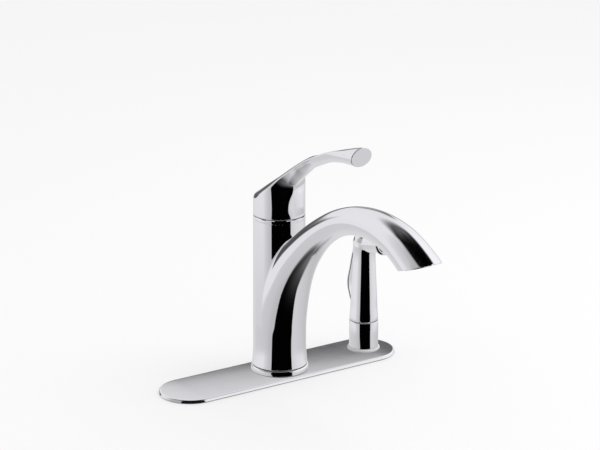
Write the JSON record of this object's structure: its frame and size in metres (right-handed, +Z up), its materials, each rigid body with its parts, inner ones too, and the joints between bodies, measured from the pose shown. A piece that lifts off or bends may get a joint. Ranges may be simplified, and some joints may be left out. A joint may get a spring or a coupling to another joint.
{
  "type": "side spray kitchen faucet",
  "caption": "Single-lever kitchen faucet with an arched swivel spout, an oval deck plate and a side spray that stands in its own holder.",
  "frame": {"origin": "on the body axis, at the underside of the deck plate, where the faucet rests on the sink deck", "axes": "+Z up, -Y from the body out towards the spout mouth, +X from the body towards the side spray"},
  "size_m": [0.266, 0.2787, 0.375],
  "materials": {
    "chrome": "polished",
    "brass": "machined",
    "steel": "machined",
    "copper": "drawn copper tube, given brass density",
    "rubber": "matte",
    "ceramic": "lapped",
    "dark_plastic": "matte",
    "grey_plastic": "satin",
    "white_plastic": "gloss"
  },
  "bodies": {
    "deck": {"deck_plate": "chrome", "deck_underlay": "dark_plastic", "base_ring": "chrome", "mounting_shank": "brass", "clamp_gasket": "rubber", "clamp_washer": "steel", "clamp_nut": "brass", "valve_body": "brass", "lower_oring": "rubber", "upper_oring": "rubber", "swivel_washer": "white_plastic", "cartridge_seal": "rubber", "fixed_ceramic_disc": "ceramic", "cartridge_housing": "grey_plastic", "retaining_nut": "brass", "bonnet_dome": "chrome", "hot_supply_tube": "copper", "cold_supply_tube": "copper", "spray_outlet_tube": "copper", "holder_flange": "white_plastic", "spray_holder": "chrome", "holder_washer": "rubber", "holder_nut": "brass"},
    "spout": {"spout_body": "chrome", "aerator_housing": "chrome", "aerator_insert": "grey_plastic", "aerator_gasket": "rubber"},
    "cartridge_stem": {"cartridge_rotor": "white_plastic", "pivot_pin": "steel"},
    "handle": {"lever_handle": "chrome", "lever_stem": "steel", "handle_set_screw": "steel", "set_screw_plug": "grey_plastic"},
    "sliding_disc": {"moving_ceramic_disc": "ceramic"},
    "spray_connector": {"spray_hose_connector": "brass"},
    "spray": {"spray_wand": "chrome", "spray_flange": "chrome", "spray_face": "dark_plastic", "trigger_pin": "steel", "valve_spring": "steel"},
    "trigger": {"spray_trigger": "chrome"},
    "plunger": {"valve_plunger": "brass"}
  },
  "joints": [
    {"name": "spout_swivel", "type": "hinge", "parent": "deck", "child": "spout", "pos_m": [0, 0, 0], "axis": [0, 0, 1], "range_deg": [-60, 60]},
    {"name": "handle_turn", "type": "hinge", "parent": "deck", "child": "cartridge_stem", "pos_m": [0, 0, 0.1684], "axis": [0, 0, 1], "range_deg": [-45, 45]},
    {"name": "handle_lift", "type": "hinge", "parent": "cartridge_stem", "child": "handle", "pos_m": [0, 0, 0.1684], "axis": [-1, 0, 0], "range_deg": [0, 20]},
    {"name": "disc_slide", "type": "slide", "parent": "cartridge_stem", "child": "sliding_disc", "axis": [0, -1, 0], "range_m": [0, 0.0088]},
    {"name": "spray_lift", "type": "slide", "parent": "deck", "child": "spray_connector", "axis": [0, 0, 1], "range_m": [0, 0.12]},
    {"name": "spray_turn", "type": "hinge", "parent": "spray_connector", "child": "spray", "pos_m": [0.1016, 0, 0.04], "axis": [0, 0, 1], "range_deg": [-90, 90]},
    {"name": "trigger_press", "type": "hinge", "parent": "spray", "child": "trigger", "pos_m": [0.1016, 0.0054, 0.117], "axis": [-1, 0, 0], "range_deg": [0, 4], "stiffness_Nm_per_rad": 0.6, "springref_deg": -5.73},
    {"name": "plunger_slide", "type": "slide", "parent": "spray", "child": "plunger", "axis": [0, -1, 0], "range_m": [0, 0.0022]}
  ],
  "couplings": [
    {"joint": "disc_slide", "follows": "handle_lift", "m_per_rad": 0.0245},
    {"joint": "plunger_slide", "follows": "trigger_press", "m_per_rad": 0.029}
  ]
}
